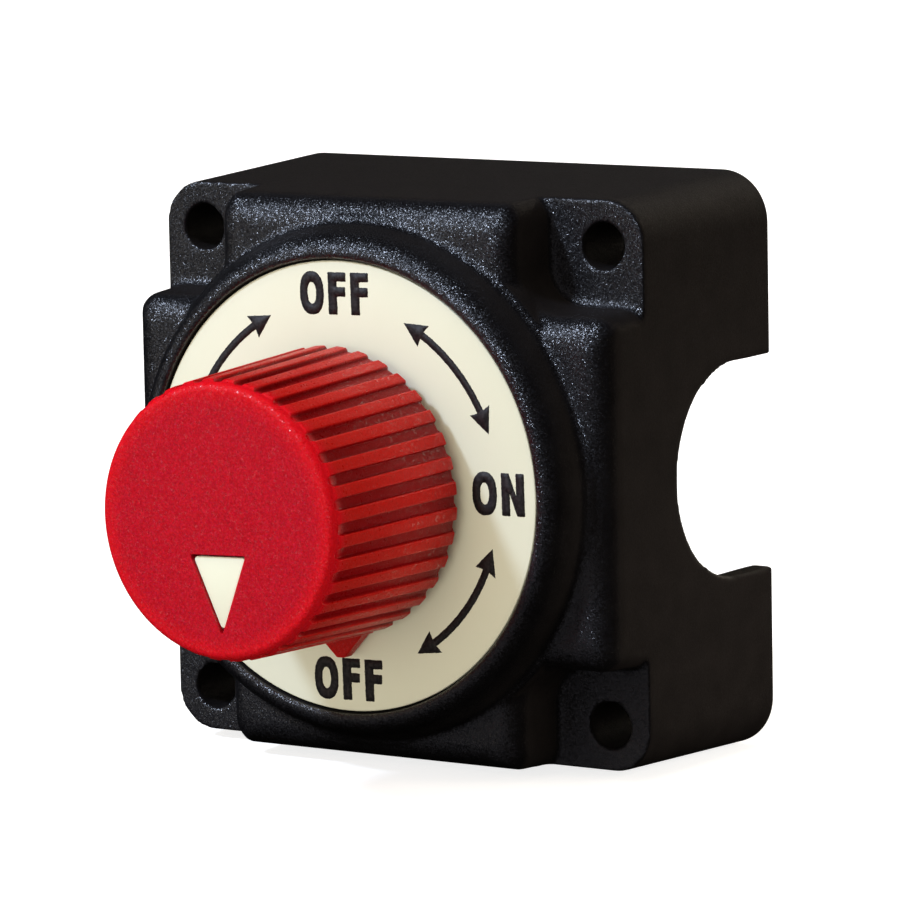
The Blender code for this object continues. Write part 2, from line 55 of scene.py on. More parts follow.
# Housing
BACK_HALF = 34.5          # half the width at the back
BODY_DRAFT = 0.0412       # narrowing of the half width for each millimetre forwards
BACK_CORNER_R = 6.0
SPARE_Y = 1.5             # the shell is made this much too long, then trimmed to a crisp back rim
PAD_CORNER_R = 5.0
PAD_Y = -26.7             # face of the four screw seats
PLATEAU_Y = -35.2         # face of the raised cross
ARM_SHOULDER_R = 3.8
POCKET_SHOULDER_R = 3.2
POCKET_FOOT = 21.6        # where the pocket's wall meets the screw seat
POCKET_WALL = 20.9        # the wall just above its foot fillet
POCKET_DRAFT = 0.3
POCKET_CORNER_R = 4.2
ARM_CORNER_R = 3.0
HOLE_PITCH_HALF = 28.0
HOLE_R = 2.75
WALL = 2.9
BAY_Y = -22.4
BAY_CORNER_R = 4.1
BOSS_R = 5.2
NOTCH_HALF = 12.75
NOTCH_CENTRE_Y = -7.3

# Dial and bezel
BEZEL_BASE_R = 30.4
CREST_Y = -40.45
DIAL_R = 26.45
DIAL_HOLE_R = 8.7
DIAL_FRONT_Y = -39.7
DIAL_T = 1.0
RECESS_R = 26.7
FLOOR_Y = -38.6
PRINT_TURN = 1.2          # degrees the printed disc sits off square
INK = 0.02                # thickness of the print

# Contact chamber
CHAMBER_R = 24.0
CHAMBER_Y = -36.4
PLATE_POCKET_R = 30.2
LEDGE_Y = -25.9
BORE_R = 6.1
PILOT_R = 1.5             # holes that the base plate's screws cut their thread in

# Knob
KNOB_DROOP = 0.5          # play lets the front of the knob sit this much low
KNOB_TURN = 2.2           # degrees the pointer stands past square at rest
KNOB_FACE_Y = -65.5
KNOB_BACK_Y = -40.4
KNOB_RIB_BACK_Y = -41.3
KNOB_R_FRONT = 16.1
KNOB_R_BACK = 17.05
KNOB_RIBS = 36
GROOVE_DEPTH_FRONT = 0.70
GROOVE_DEPTH_BACK = 0.42
GROOVE_SHARE = 0.51       # width of a groove as a share of the pitch
GROOVE_WALL = 0.20        # width of a groove's sloping wall
GROOVE_TIP_Y = -64.6      # front end of the grooves
RING_STEP = 0.25          # the smooth ring at the face is this much smaller than the ribs
HUB_R = 7.4
SOCKET_HALF = 4.15        # half the square that takes the spindle
WINDOW_HALF = 3.85
WINDOW_TOP = -4.25
WINDOW_TIP = -13.6
WINDOW_Y = -64.2

# Terminals
STUD_X = 17.0
STUD_R = 4.95
STUD_END_Y = -2.5
STUD_ROOT_Y = -26.0
THREAD_PITCH = 1.5
PLATE_BACK_Y = -22.5
PLATE_FRONT_Y = -25.3
PLATE_R = 30.0
SCREW_PCR = 27.6

VOXEL = 0.30              # remesh size of the housing
BEYOND = 44.0             # outside every face of the housing


# ---------------------------------------------------------------- mesh helpers

def new_object(name, data):
    obj = bpy.data.objects.new(name, data)
    bpy.context.scene.collection.objects.link(obj)
    return obj


def mesh_object(name, verts, faces):
    """A smooth-shaded object from millimetre points, with its normals turned outwards."""
    mesh = bpy.data.meshes.new(name)
    mesh.from_pydata([tuple(c * MM for c in v) for v in verts], [], faces)
    work = bmesh.new()
    work.from_mesh(mesh)
    bmesh.ops.recalc_face_normals(work, faces=work.faces)
    work.to_mesh(mesh)
    work.free()
    mesh.polygons.foreach_set("use_smooth", [True] * len(mesh.polygons))
    return new_object(name, mesh)


def ring(radius, y, count, x=0.0, z=0.0):
    """Evenly spaced points of a circle about an axis along Y."""
    angles = [2 * pi * i / count for i in range(count)]
    return [(x + radius * cos(a), y, z + radius * sin(a)) for a in angles]


def quarter(steps):
    """(sine, cosine) at even steps through a quarter turn."""
    return [(sin(pi / 2 * k / steps), cos(pi / 2 * k / steps)) for k in range(steps + 1)]


def loft(name, loops):
    """A solid through closed loops of equal length, capped at both ends."""
    n = len(loops[0])
    verts = [p for loop in loops for p in loop]
    faces = []
    for k in range(len(loops) - 1):
        for i in range(n):
            j = (i + 1) % n
            faces.append((k * n + i, k * n + j, (k + 1) * n + j, (k + 1) * n + i))
    faces.append(tuple(range(n)))
    faces.append(tuple(range((len(loops) - 1) * n, len(loops) * n)))
    return mesh_object(name, verts, faces)


def revolve(name, profile, segments, x=0.0, z=0.0):
    """Turned solid about an axis along Y: closed ring, or solid if the profile starts on the axis."""
    solid = profile[0][0] == 0.0
    rings = profile[1:-1] if solid else profile
    verts = []
    for r, y in rings:
        verts += ring(r, y, segments, x, z)
    faces = []
    count = len(rings)
    for k in range(count - 1 if solid else count):
        n = (k + 1) % count
        for i in range(segments):
            j = (i + 1) % segments
            faces.append((k * segments + i, k * segments + j, n * segments + j, n * segments + i))
    if solid:
        first, last = len(verts), len(verts) + 1
        verts += [(x, profile[0][1], z), (x, profile[-1][1], z)]
        base = (count - 1) * segments
        for i in range(segments):
            j = (i + 1) % segments
            faces.append((first, i, j))
            faces.append((last, base + j, base + i))
    return mesh_object(name, verts, faces)


def cylinder(name, radius, y0, y1, segments, x=0.0, z=0.0):
    """A plain round bar between two levels."""
    return revolve(name, [(0.0, y0), (radius, y0), (radius, y1), (0.0, y1)], segments, x, z)


def prism(name, points, y0, y1):
    """A straight solid with an (x, z) outline."""
    return loft(name, [[(px, y, pz) for px, pz in points] for y in (y0, y1)])


def block(name, x0, x1, y0, y1, z0, z1):
    """A box between two limits along each axis."""
    return prism(name, [(x0, z0), (x1, z0), (x1, z1), (x0, z1)], y0, y1)


def join(name, objects):
    """One mesh object out of several."""
    verts, faces = [], []
    for obj in objects:
        base = len(verts)
        verts += [tuple(c / MM for c in v.co) for v in obj.data.vertices]
        faces += [tuple(base + i for i in f.vertices) for f in obj.data.polygons]
        bpy.data.objects.remove(obj, do_unlink=True)
    return mesh_object(name, verts, faces)


def boolean(target, tool, operation):
    modifier = target.modifiers.new(operation.lower(), "BOOLEAN")
    modifier.operation = operation
    modifier.solver = "EXACT"
    modifier.object = tool


def apply_modifiers(obj, *tools):
    """Bake the object's modifiers into its mesh and drop the cutters."""
    graph = bpy.context.evaluated_depsgraph_get()
    mesh = bpy.data.meshes.new_from_object(obj.evaluated_get(graph))
    old = obj.data
    obj.modifiers.clear()
    obj.data = mesh
    bpy.data.meshes.remove(old)
    for tool in tools:
        bpy.data.objects.remove(tool, do_unlink=True)
    return obj


def combine(target, added=(), removed=()):
    """Boolean union with the first group, then difference with the second."""
    for tool in added:
        boolean(target, tool, "UNION")
    for tool in removed:
        boolean(target, tool, "DIFFERENCE")
    return apply_modifiers(target, *added, *removed)


def soften(obj, voxel, rounds, keep):
    """Give every edge a mould's small radius by remeshing, then keep a share of the faces."""
    remesh = obj.modifiers.new("remesh", "REMESH")
    remesh.mode = "VOXEL"
    remesh.voxel_size = voxel * MM
    remesh.use_smooth_shade = True
    smooth = obj.modifiers.new("smooth", "SMOOTH")
    smooth.factor = 0.5
    smooth.iterations = rounds
    thin = obj.modifiers.new("thin", "DECIMATE")
    thin.ratio = keep
    apply_modifiers(obj)
    obj.data.polygons.foreach_set("use_smooth", [True] * len(obj.data.polygons))
    return obj


def edge_smooth(obj, angle):
    """Smooth shading, but for edges sharper than an angle in degrees."""
    obj.data.polygons.foreach_set("use_smooth", [True] * len(obj.data.polygons))
    obj.data.set_sharp_from_angle(angle=radians(angle))
    return obj


def bevelled(obj, width, segments=3, angle=32.0):
    """Round the edges that are sharper than an angle in degrees."""
    bevel = obj.modifiers.new("bevel", "BEVEL")
    bevel.width = width * MM
    bevel.segments = segments
    bevel.limit_method = "ANGLE"
    bevel.angle_limit = radians(angle)
    apply_modifiers(obj)
    return edge_smooth(obj, 40.0)


def arc(cx, cz, r, start, stop, steps):
    """Points of an arc between two angles in degrees."""
    angles = [radians(start + (stop - start) * k / steps) for k in range(steps + 1)]
    return [(cx + r * cos(a), cz + r * sin(a)) for a in angles]


def turned(points, angle):
    """An outline turned about the origin by an angle in degrees."""
    c, s = cos(radians(angle)), sin(radians(angle))
    return [(x * c - z * s, x * s + z * c) for x, z in points]


def shifted(points, x, z):
    """An outline moved sideways."""
    return [(px + x, pz + z) for px, pz in points]


def rectangle(half_x, half_z):
    return [(-half_x, -half_z), (half_x, -half_z), (half_x, half_z), (-half_x, half_z)]


def rounded_polygon(corner_points, radius, steps=5):
    """The convex polygon with each corner replaced by an arc of the given radius."""
    points = []
    count = len(corner_points)
    for k in range(count):
        p = Vector(corner_points[k])
        a = (Vector(corner_points[k - 1]) - p).normalized()
        b = (Vector(corner_points[(k + 1) % count]) - p).normalized()
        half = a.angle(b) / 2
        reach = radius / np.tan(half)
        middle = p + (a + b).normalized() * (radius / sin(half))
        first, last = p + a * reach - middle, p + b * reach - middle
        start = atan2(first.y, first.x)
        turn = (atan2(last.y, last.x) - start + pi) % (2 * pi) - pi
        for s in range(steps + 1):
            t = start + turn * s / steps
            points.append((middle.x + radius * cos(t), middle.y + radius * sin(t)))
    return points


def eased_corners(points, radius):
    """Round every corner, inner ones included, by stepping back along both sides."""
    result = []
    count = len(points)
    for k in range(count):
        p = Vector(points[k])
        a, b = Vector(points[k - 1]) - p, Vector(points[(k + 1) % count]) - p
        reach = min(radius, a.length / 3, b.length / 3)
        first, last = p + a.normalized() * reach, p + b.normalized() * reach
        for t in (0.0, 0.25, 0.5, 0.75, 1.0):
            q = first * (1 - t) ** 2 + p * 2 * t * (1 - t) + last * t ** 2
            result.append((q.x, q.y))
    return result


def place(obj, body, slot, material, *nodes):
    """Give a piece its material, its body and the CAD nodes it stands for; the slot argument is not used."""
    obj.data.materials.clear()
    obj.data.materials.append(material)
    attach(obj, body)
    if nodes:
        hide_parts(*nodes)


# ---------------------------------------------------------------- housing

def body_half(y):
    """Half the width of the body: drafted sides, then a round shoulder at the cross's front."""
    start = PLATEAU_Y + ARM_SHOULDER_R
    if y >= start:
        return BACK_HALF + BODY_DRAFT * y
    inset = ARM_SHOULDER_R ** 2 - (y - start) ** 2
    return BACK_HALF + BODY_DRAFT * start - ARM_SHOULDER_R + sqrt(max(inset, 0.0))


def body_corner(y):
    return BACK_CORNER_R + (PAD_CORNER_R - BACK_CORNER_R) * min(1.0, y / PAD_Y)


def rounded_square(half, r, y, steps):
    """One section of the body."""
    points = []
    c = half - r
    for cx, cz, start in ((c, c, 0), (-c, c, 90), (-c, -c, 180), (c, -c, 270)):
        points += arc(cx, cz, r, start, start + 90, steps)
    return [(px, y, pz) for px, pz in points]


def pocket_levels():
    """(y, wall position) up a corner pocket: foot fillet, drafted wall, shoulder."""
    fillet = POCKET_FOOT - POCKET_WALL
    levels = [(PAD_Y - fillet * (1 - c), POCKET_FOOT - fillet * s) for s, c in quarter(4)]
    start = PLATEAU_Y + POCKET_SHOULDER_R
    top = POCKET_WALL - POCKET_DRAFT
    levels += [(start - POCKET_SHOULDER_R * s, top - POCKET_SHOULDER_R * (1 - c)) for s, c in quarter(12)]
    levels.append((PLATEAU_Y - 0.6, top - POCKET_SHOULDER_R - 0.4))
    return levels


def pocket_outline(wall, y):
    """One section of a corner pocket, flared where its walls run out through the body's sides."""
    end = body_half(max(y, PLATEAU_Y)) - ARM_CORNER_R + 0.35
    flare = wall - ARM_CORNER_R
    centre = POCKET_FOOT + POCKET_CORNER_R
    side = arc(flare, end, ARM_CORNER_R, 68, 0, 10)
    lower = [(pz, px) for px, pz in reversed(side)]
    corner = arc(centre, centre, centre - wall, 180, 270, 16)
    return [(BEYOND, BEYOND), (side[0][0], BEYOND)] + side + corner + lower + [(BEYOND, side[0][0])]


def pocket_cutter(sx, sz):
    return loft("pocket", [[(sx * px, y, sz * pz) for px, pz in pocket_outline(wall, y)]
                           for y, wall in pocket_levels()])


def bezel_profile():
    """(radius, y) from the foot fillet up the outside, over the crest and down into the dial's recess."""
    r = BEZEL_BASE_R
    profile = [(0.0, -33.0), (r + 0.9, -33.0), (r + 0.75, PLATEAU_Y + 0.12), (r + 0.32, PLATEAU_Y - 0.07)]
    profile += [(r + 0.05, PLATEAU_Y - 0.32), (r - 0.1, PLATEAU_Y - 0.7), (r - 0.45, -37.2)]
    profile += [(r - 0.85, -38.3), (r - 1.08, -38.8), (r - 1.35, -39.25), (r - 1.65, -39.62)]
    profile += [(r - 1.98, -39.95), (r - 2.33, -40.2), (r - 2.7, -40.37)]
    profile += [(r - 3.1, CREST_Y), (RECESS_R + 0.32, CREST_Y + 0.01)]
    profile += [(RECESS_R + 0.1, -40.33), (RECESS_R, -40.1), (0.0, -40.1)]
    return profile


def screw_places(radius):
    """(x, z) of four screws on the diagonals."""
    return [(radius * cos(radians(a)), radius * sin(radians(a))) for a in (45, 135, 225, 315)]


def corners():
    return [(sx, sz) for sx in (-1, 1) for sz in (-1, 1)]


def at_holes(name, radius, y0, y1, segments):
    """A cylinder at each of the four panel screw holes."""
    return [cylinder(name, radius, y0, y1, segments, sx * HOLE_PITCH_HALF, sz * HOLE_PITCH_HALF)
            for sx, sz in corners()]


def bay_cutter():
    """The open terminal bay, less the bosses round the panel screws."""
    loops = [rounded_square(body_half(min(y, 0.0)) - WALL, BAY_CORNER_R, y, 8) for y in (2.5, BAY_Y)]
    bay = loft("bay", loops)
    return combine(bay, removed=[join("bosses", at_holes("boss", BOSS_R, 3.0, BAY_Y - 3.0, 48))])


def notch_cutter():
    """The cable notches of both side walls, cut in one go."""
    round_end = arc(NOTCH_CENTRE_Y, 0.0, NOTCH_HALF, -90, -270, 48)
    outline = [(2.0, -NOTCH_HALF)] + round_end + [(2.0, NOTCH_HALF)]
    return loft("notch", [[(x, y, z) for y, z in outline] for x in (-40.0, 40.0)])


def hollows():
    """Everything cut out of the housing apart from its corner pockets."""
    recess = cylinder("dial_recess", RECESS_R, FLOOR_Y, -46.0, 144)
    profile = [(0.0, -20.0), (PLATE_POCKET_R, -20.0), (PLATE_POCKET_R, LEDGE_Y), (CHAMBER_R, LEDGE_Y)]
    profile += [(CHAMBER_R, CHAMBER_Y), (0.0, CHAMBER_Y)]
    chamber = revolve("chamber", profile, 96)
    bay, notch = bay_cutter(), notch_cutter()
    drills = [cylinder("drill", BORE_R, -30.0, -46.0, 64)] + at_holes("drill", HOLE_R, 4.0, -40.0, 64)
    drills += [cylinder("drill", PILOT_R, -24.0, -33.0, 24, px, pz) for px, pz in screw_places(SCREW_PCR)]
    return [recess, chamber, bay, notch, join("drills", drills)]


def make_housing():
    """The moulded shell, softened as one piece and trimmed flat at the back."""
    start = PLATEAU_Y + ARM_SHOULDER_R
    depths = [SPARE_Y, PAD_Y] + [start - ARM_SHOULDER_R * s for s, _ in quarter(12)]
    housing = loft("housing_shell", [rounded_square(body_half(y), body_corner(y), y, 18) for y in depths])
    pockets = join("pockets", [pocket_cutter(sx, sz) for sx, sz in corners()])
    combine(housing, removed=[pockets])
    combine(housing, added=[revolve("bezel", bezel_profile(), 144)])
    combine(housing, removed=hollows())
    soften(housing, VOXEL, 7, 0.6)
    combine(housing, removed=[block("back_trim", -BEYOND, BEYOND, 0.0, 5.0, -BEYOND, BEYOND)])
    return edge_smooth(housing, 45.0)


# ---------------------------------------------------------------- knob

def knob_radius(y):
    """Radius of the rib tops."""
    t = (y - KNOB_FACE_Y) / (KNOB_RIB_BACK_Y - KNOB_FACE_Y)
    return KNOB_R_FRONT + (KNOB_R_BACK - KNOB_R_FRONT) * min(t, 1.0)


def ease(t):
    """Smooth step from 0 to 1."""
    t = min(max(t, 0.0), 1.0)
    return t * t * (3 - 2 * t)


def groove_depth(y, lateral):
    """Depth of a groove at a distance sideways from its middle; the front end is round and shallow."""
    half = GROOVE_SHARE * pi * knob_radius(y) / KNOB_RIBS
    ahead = max(GROOVE_TIP_Y + half - y, 0.0)
    distance = hypot(lateral, ahead)
    back = ease((y - GROOVE_TIP_Y) / (KNOB_RIB_BACK_Y - GROOVE_TIP_Y))
    deepest = GROOVE_DEPTH_FRONT + (GROOVE_DEPTH_BACK - GROOVE_DEPTH_FRONT) * back
    deepen = 0.5 + 0.5 * ease((y - GROOVE_TIP_Y) / 2.2)
    return deepest * deepen * ease((half + 0.03 - distance) / GROOVE_WALL)


def ring_step(y):
    """How far the surface ahead of the ribs lies inside them."""
    return RING_STEP * (1 - ease((y - GROOVE_TIP_Y - 0.1) / 0.4))


def knob_levels():
    """(y, radius change) from the face to the back of the ribs."""
    rim, heel, tips = 0.95, 0.3, 2.4
    levels = [(KNOB_FACE_Y + rim * (1 - c), rim * (s - 1)) for s, c in quarter(8)]
    y = KNOB_FACE_Y + rim
    levels += [(y + tips * k / 24, 0.0) for k in range(1, 25)]
    y += tips
    levels += [(y + (KNOB_RIB_BACK_Y - heel - y) * k / 10, 0.0) for k in range(1, 11)]
    levels += [(KNOB_RIB_BACK_Y - heel * c, -heel * (1 - c)) for _, c in quarter(4)[1:]]
    return levels


def knob_droop(y):
    """How much the knob hangs below its axis."""
    return KNOB_DROOP * (0.5 + 0.5 * (KNOB_BACK_Y - y) / (KNOB_BACK_Y - KNOB_FACE_Y))


def rib_loop(y, change):
    """One section of the ribbed side, hung as low as the knob's play allows."""
    steps = 24
    pitch = 2 * pi / KNOB_RIBS
    base = knob_radius(y)
    low = knob_droop(y)
    loop = []
    for k in range(KNOB_RIBS):
        for s in range(steps):
            local = s / steps
            lateral = (local - 0.5) * pitch * base
            r = base + change - ring_step(y) - groove_depth(y, abs(lateral))
            a = pitch * (k + local - 0.5)
            loop.append((r * cos(a), y, r * sin(a) - low))
    return loop


def pointer_nib():
    """The pointed lug at the back of the knob that shows the position."""
    base, shoulder, tip, half = -15.2, -16.15, -19.75, 4.0
    outline = [(-half, base), (half, base), (half, shoulder), (0.55, tip), (-0.55, tip), (-half, shoulder)]
    return bevelled(prism("nib", turned(outline, KNOB_TURN), KNOB_BACK_Y + 0.02, KNOB_BACK_Y - 1.7), 0.15)


def make_knob():
    """The ribbed shell round its hub, with the nib and the triangular window."""
    loops = [rib_loop(y, change) for y, change in knob_levels()]
    skirt = KNOB_R_BACK - 1.35
    for y, r in ((KNOB_RIB_BACK_Y + 0.02, skirt), (KNOB_BACK_Y - 0.15, skirt), (KNOB_BACK_Y, skirt - 0.15)):
        loops.append(ring(r, y, len(loops[0])))
    knob = loft("knob_shell", loops)
    profile = [(HUB_R, -39.0), (14.2, -39.0), (12.6, -61.6), (12.0, -62.2), (HUB_R, -62.2)]
    cavity = revolve("cavity", profile, 72)
    relief = cylinder("relief", 9.4, -39.0, -43.2, 72)
    socket = block("socket", -SOCKET_HALF, SOCKET_HALF, -39.0, -58.6, -SOCKET_HALF, SOCKET_HALF)
    corner_points = [(-WINDOW_HALF, WINDOW_TOP), (WINDOW_HALF, WINDOW_TOP), (0.0, WINDOW_TIP)]
    window = prism("window", turned(rounded_polygon(corner_points, 0.22), KNOB_TURN), WINDOW_Y, -67.0)
    combine(knob, added=[pointer_nib()], removed=[cavity, relief, socket, window])
    return edge_smooth(knob, 38.0)


def make_pointer_insert():
    """The cream triangle, a little smaller than its window and sunk below the knob's face."""
    corner_points = [(-3.66, -4.52), (3.66, -4.52), (0.0, -13.3)]
    outline = turned(rounded_polygon(corner_points, 0.42), KNOB_TURN)
    return bevelled(prism("pointer_window", outline, WINDOW_Y - 0.05, KNOB_FACE_Y + 0.4), 0.08, 2)


# ---------------------------------------------------------------- dial and its print

def make_dial():
    back = DIAL_FRONT_Y + DIAL_T
    profile = [(DIAL_HOLE_R, back), (DIAL_R, back), (DIAL_R, DIAL_FRONT_Y + 0.12)]
    profile += [(DIAL_R - 0.04, DIAL_FRONT_Y + 0.04), (DIAL_R - 0.14, DIAL_FRONT_Y)]
    profile.append((DIAL_HOLE_R, DIAL_FRONT_Y))
    return edge_smooth(revolve("dial_disc", profile, 144), 50.0)


def superellipse(cx, cz, a, b, power, count):
    points = []
    for k in range(count):
        t = 2 * pi * k / count
        c, s = cos(t), sin(t)
        c, s = copysign(abs(c) ** (2 / power), c), copysign(abs(s) ** (2 / power), s)
        points.append((cx + a * c, cz + b * s))
    return points


# radius in millimetres and the angles of both tips in degrees
ARROWS = [(21.6, 18.7, 64.3), (21.35, -63.4, -17.1), (21.85, 114.8, 160.2), (21.6, 196.0, 242.0)]
# word and the place of its middle on the dial
WORDS = [("OFF", -0.13, 22.63), ("OFF", -0.2, -22.69), ("ON", 21.45, 0.1), ("ON", -21.45, 0.1)]
LETTER_H = 4.95
LETTER_GAP = 0.62
LETTER_CORNER = 0.13
STEM = 1.22


def letter_o(x):
    """Outline, hole and width of an O whose left edge is at x."""
    width = 3.33
    cx, cz = x + width / 2, LETTER_H / 2
    outer = superellipse(cx, cz, width / 2, LETTER_H / 2 + 0.06, 2.35, 56)
    hole = superellipse(cx, cz, 0.6, 1.26, 2.2, 40)
    return outer, hole, width


def letter_f(x):
    """Outline, empty hole and width of an F whose left edge is at x."""
    width, h = 2.5, LETTER_H
    outline = [(x, 0), (x + STEM, 0), (x + STEM, h - 2.83), (x + width - 0.1, h - 2.83),
               (x + width - 0.1, h - 1.72), (x + STEM, h - 1.72), (x + STEM, h - 1.08), (x + width, h - 1.08),
               (x + width, h), (x, h)]
    return eased_corners(outline, LETTER_CORNER), [], width


def letter_n(x):
    """Outline, empty hole and width of an N whose left edge is at x."""
    width, h = 3.1, LETTER_H
    outline = [(x, 0), (x + 1.12, 0), (x + 1.12, 2.6), (x + 2.05, 0), (x + width, 0), (x + width, h),
               (x + width - 1.12, h), (x + width - 1.12, 2.35), (x + 1.05, h), (x, h)]
    return eased_corners(outline, LETTER_CORNER), [], width


def arrow_outline(radius, start, stop):
    """Double-headed arrow along a circle between two angles in degrees."""
    half, barb, head = 0.46, 1.48, 3.0
    turn = degrees(head / radius)
    lead = degrees((head - 0.2) / radius)
    outer = arc(0, 0, radius + half, start + lead, stop - lead, 24)
    inner = arc(0, 0, radius - half, stop - lead, start + lead, 24)

    def at(angle, r):
        return (r * cos(radians(angle)), r * sin(radians(angle)))

    points = [at(start, radius), at(start + turn, radius + barb)] + outer
    points += [at(stop - turn, radius + barb), at(stop, radius), at(stop - turn, radius - barb)] + inner
    points.append(at(start + turn, radius - barb))
    return points


WAVES = (3.1, 5.3, 8.7, 13.9, 19.3, 26.1)     # radians per millimetre along a printed edge


def worn_outline(points, rng, spacing=0.1, amount=0.0484):
    """Outline cut into short steps and moved by a slow random wave, like a screen-printed edge."""
    result = []
    count = len(points)
    phase = rng.uniform(0.0, 2 * pi, len(WAVES))
    travelled = 0.0
    for k in range(count):
        (x0, z0), (x1, z1) = points[k], points[(k + 1) % count]
        length = hypot(x1 - x0, z1 - z0)
        if length < 1e-6:
            continue
        nx, nz = (z1 - z0) / length, (x0 - x1) / length
        pieces = max(1, ceil(length / spacing))
        for s in range(pieces):
            t = s / pieces
            d = travelled + length * t
            wave = amount * sum(sin(d * f + p) for f, p in zip(WAVES, phase)) / len(WAVES)
            result.append((x0 + (x1 - x0) * t + nx * wave, z0 + (z1 - z0) * t + nz * wave))
        travelled += length
    return result


def inside(x, z, outline):
    """Whether a point lies inside a closed outline."""
    odd = False
    for (x0, z0), (x1, z1) in zip(outline, outline[1:] + outline[:1]):
        if (z0 > z) != (z1 > z) and x < x0 + (x1 - x0) * (z - z0) / (z1 - z0):
            odd = not odd
    return odd


def ink_piece(outlines, rng):
    """A thin layer of ink on the dial's face, where a point is inside just one of the outlines."""
    front, back = DIAL_FRONT_Y - INK, DIAL_FRONT_Y + 0.01
    worn = [worn_outline(outline, rng) for outline in outlines]
    points, edges = [], []
    for outline in worn:
        first = len(points)
        points += [Vector(p) for p in outline]
        edges += [(first + i, first + (i + 1) % len(outline)) for i in range(len(outline))]
    flat, _, triangles = delaunay_2d_cdt(points, edges, [], 1, 1e-5)[:3]
    work = bmesh.new()
    verts = [work.verts.new((p.x * MM, front * MM, p.y * MM)) for p in flat]
    for triangle in triangles:
        centre = sum((flat[i] for i in triangle), Vector((0.0, 0.0))) / 3
        if sum(inside(centre.x, centre.y, outline) for outline in worn) == 1:
            work.faces.new([verts[i] for i in triangle])
    made = bmesh.ops.extrude_face_region(work, geom=list(work.faces))
    moved = [v for v in made["geom"] if isinstance(v, bmesh.types.BMVert)]
    bmesh.ops.translate(work, verts=moved, vec=(0, (back - front) * MM, 0))
    bmesh.ops.recalc_face_normals(work, faces=work.faces)
    mesh = bpy.data.meshes.new("ink")
    work.to_mesh(mesh)
    work.free()
    return new_object("ink", mesh)


def word_shapes(word, cx, cz):
    """(outline, hole) of each letter of a word centred on a point."""
    makers = {"O": letter_o, "F": letter_f, "N": letter_n}
    shapes, x = [], 0.0
    for letter in word:
        outline, hole, width = makers[letter](x)
        shapes.append((outline, hole))
        x += width + LETTER_GAP
    shift, low = cx - (x - LETTER_GAP) / 2, cz - LETTER_H / 2
    return [[shifted(points, shift, low) for points in shape] for shape in shapes]


def make_print():
    """The words and arrows, each with its own worn edge."""
    rng = np.random.default_rng(7)
    shapes = []
    for word, cx, cz in WORDS:
        shapes += word_shapes(word, cx, cz)
    shapes += [[arrow_outline(*arrow)] for arrow in ARROWS]
    pieces = [ink_piece([turned(points, PRINT_TURN) for points in shape if points], rng) for shape in shapes]
    return join("dial_print", pieces)


# ---------------------------------------------------------------- terminals and base plate

def make_base_plate():
    """Round plate with a barrier between the terminals and stops that keep the studs from turning."""
    profile = [(0.0, PLATE_BACK_Y), (PLATE_R, PLATE_BACK_Y), (PLATE_R, PLATE_FRONT_Y), (0.0, PLATE_FRONT_Y)]
    plate = revolve("terminal_plate", profile, 120)
    parts = [block("barrier", -1.1, 1.1, PLATE_BACK_Y - 1.0, -4.0, -26.0, 26.0)]
    for sx, sz in corners():
        parts.append(block("stop", sx * 11.2, sx * 21.8, PLATE_FRONT_Y + 1.0, -27.8, sz * 7.35, sz * 8.7))
    holes = [cylinder("hole", STUD_R + 0.2, -20.0, -30.0, 48, sx * STUD_X) for sx in (-1, 1)]
    holes += [cylinder("hole", 1.7, -20.0, -30.0, 24, px, pz) for px, pz in screw_places(SCREW_PCR)]
    combine(plate, added=parts, removed=[join("plate_holes", holes)])
    return soften(plate, 0.36, 3, 0.35)


def thread_radius(y, angle):
    """Radius of a rolled thread with rounded crests and roots."""
    phase = (y / THREAD_PITCH - angle / (2 * pi)) % 1.0
    height = abs(2 * phase - 1)
    fade = ease((STUD_END_Y - y) / 1.2) * ease((y - PLATE_BACK_Y) / 1.0)
    return STUD_R - 0.78 * fade * (1 - ease((height - 0.08) / 0.84))


def make_stud(name, sx):
    """Threaded shank with a domed end, and the head that is the fixed contact."""
    around = 56
    length = STUD_END_Y - 0.9 - STUD_ROOT_Y
    levels = int(length / 0.125)
    loops = []
    x = sx * STUD_X
    for k in range(levels + 1):
        y = STUD_ROOT_Y + length * k / levels
        loop = []
        for i in range(around):
            a = 2 * pi * i / around
            r = thread_radius(y, a) if y > PLATE_BACK_Y else STUD_R
            loop.append((x + r * cos(a), y, r * sin(a)))
        loops.append(loop)
    for y, r in ((STUD_END_Y - 0.45, 4.4), (STUD_END_Y - 0.08, 4.1), (STUD_END_Y, 3.95)):
        loops.append(ring(r, y, around, x))
    shank = edge_smooth(loft(name, loops), 50.0)
    outline = rounded_polygon(shifted(rectangle(5.4, 7.1), x, 0.0), 0.8)
    head = bevelled(prism(name + "_head", outline, PLATE_FRONT_Y - 0.1, -28.6), 0.3)
    return join(name, [shank, head])


def make_flat_washer(name, sx):
    profile = [(5.25, -20.75), (5.5, -20.5), (9.8, -20.5), (10.0, -20.72), (10.0, -22.2), (9.85, -22.4),
               (5.4, -22.4), (5.25, -22.25)]
    return edge_smooth(revolve(name, profile, 96, sx * STUD_X), 25.0)


def make_spring_washer(name, sx):
    """A split ring whose ends stand a little apart along the stud."""
    x = sx * STUD_X
    loops = []
    steps = 96
    for k in range(steps + 1):
        a = radians(96 + 348 * k / steps)
        rise = 0.35 * k / steps
        section = rounded_polygon([(5.3, -20.35), (9.0, -20.35), (9.0, -18.55), (5.3, -18.55)], 0.22, 3)
        loops.append([(x + r * cos(a), y + rise, r * sin(a)) for r, y in section])
    return edge_smooth(loft(name, loops), 30.0)


